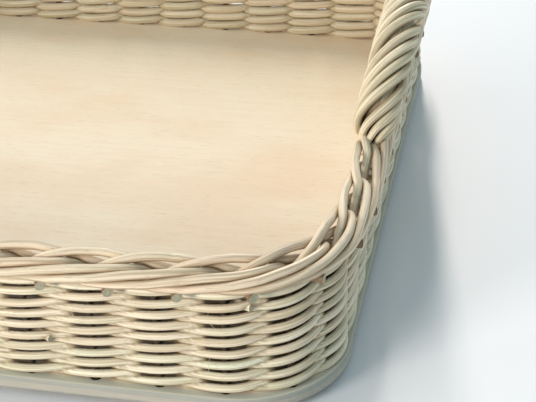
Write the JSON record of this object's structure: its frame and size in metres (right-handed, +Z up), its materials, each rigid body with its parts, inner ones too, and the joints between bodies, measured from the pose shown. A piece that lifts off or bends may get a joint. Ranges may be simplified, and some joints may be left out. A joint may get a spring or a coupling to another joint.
{
  "type": "wicker tray",
  "caption": "Rectangular wicker serving tray with rounded corners: plywood base, paired-weave wall, rodded border and a wrapped bow handle on each short side.",
  "frame": {"origin": "middle of the underside, on the surface the tray stands on", "axes": "+Z up out of the tray, +X along the long side towards one handle"},
  "size_m": [0.4182, 0.3398, 0.1063],
  "materials": {
    "plywood": "sanded birch plywood",
    "stake_rod": "natural centre cane",
    "weaver_rod": "natural centre cane",
    "handle_bow": "natural thick cane",
    "handle_rod": "natural centre cane"
  },
  "bodies": {
    "root": {"base_board": "plywood", "stake_01": "stake_rod", "stake_02": "stake_rod", "stake_03": "stake_rod", "stake_04": "stake_rod", "stake_05": "stake_rod", "stake_06": "stake_rod", "stake_07": "stake_rod", "stake_08": "stake_rod", "stake_09": "stake_rod", "stake_10": "stake_rod", "stake_11": "stake_rod", "stake_12": "stake_rod", "stake_13": "stake_rod", "stake_14": "stake_rod", "stake_15": "stake_rod", "stake_16": "stake_rod", "stake_17": "stake_rod", "stake_18": "stake_rod", "stake_19": "stake_rod", "stake_20": "stake_rod", "stake_21": "stake_rod", "stake_22": "stake_rod", "stake_23": "stake_rod", "stake_24": "stake_rod", "stake_25": "stake_rod", "stake_26": "stake_rod", "weaver_01a": "weaver_rod", "weaver_01b": "weaver_rod", "weaver_02a": "weaver_rod", "weaver_02b": "weaver_rod", "weaver_03a": "weaver_rod", "weaver_03b": "weaver_rod", "weaver_04a": "weaver_rod", "weaver_04b": "weaver_rod", "weaver_05a": "weaver_rod", "weaver_05b": "weaver_rod", "weaver_06a": "weaver_rod", "weaver_06b": "weaver_rod", "weaver_07a": "weaver_rod", "weaver_07b": "weaver_rod", "weaver_08a": "weaver_rod", "weaver_08b": "weaver_rod", "weaver_09a": "weaver_rod", "weaver_09b": "weaver_rod", "handle_core_left": "handle_bow", "handle_core_right": "handle_bow", "handle_wrap_left_1": "handle_rod", "handle_wrap_left_2": "handle_rod", "handle_wrap_left_3": "handle_rod", "handle_wrap_left_4": "handle_rod", "handle_wrap_right_1": "handle_rod", "handle_wrap_right_2": "handle_rod", "handle_wrap_right_3": "handle_rod", "handle_wrap_right_4": "handle_rod"}
  },
  "joints": []
}
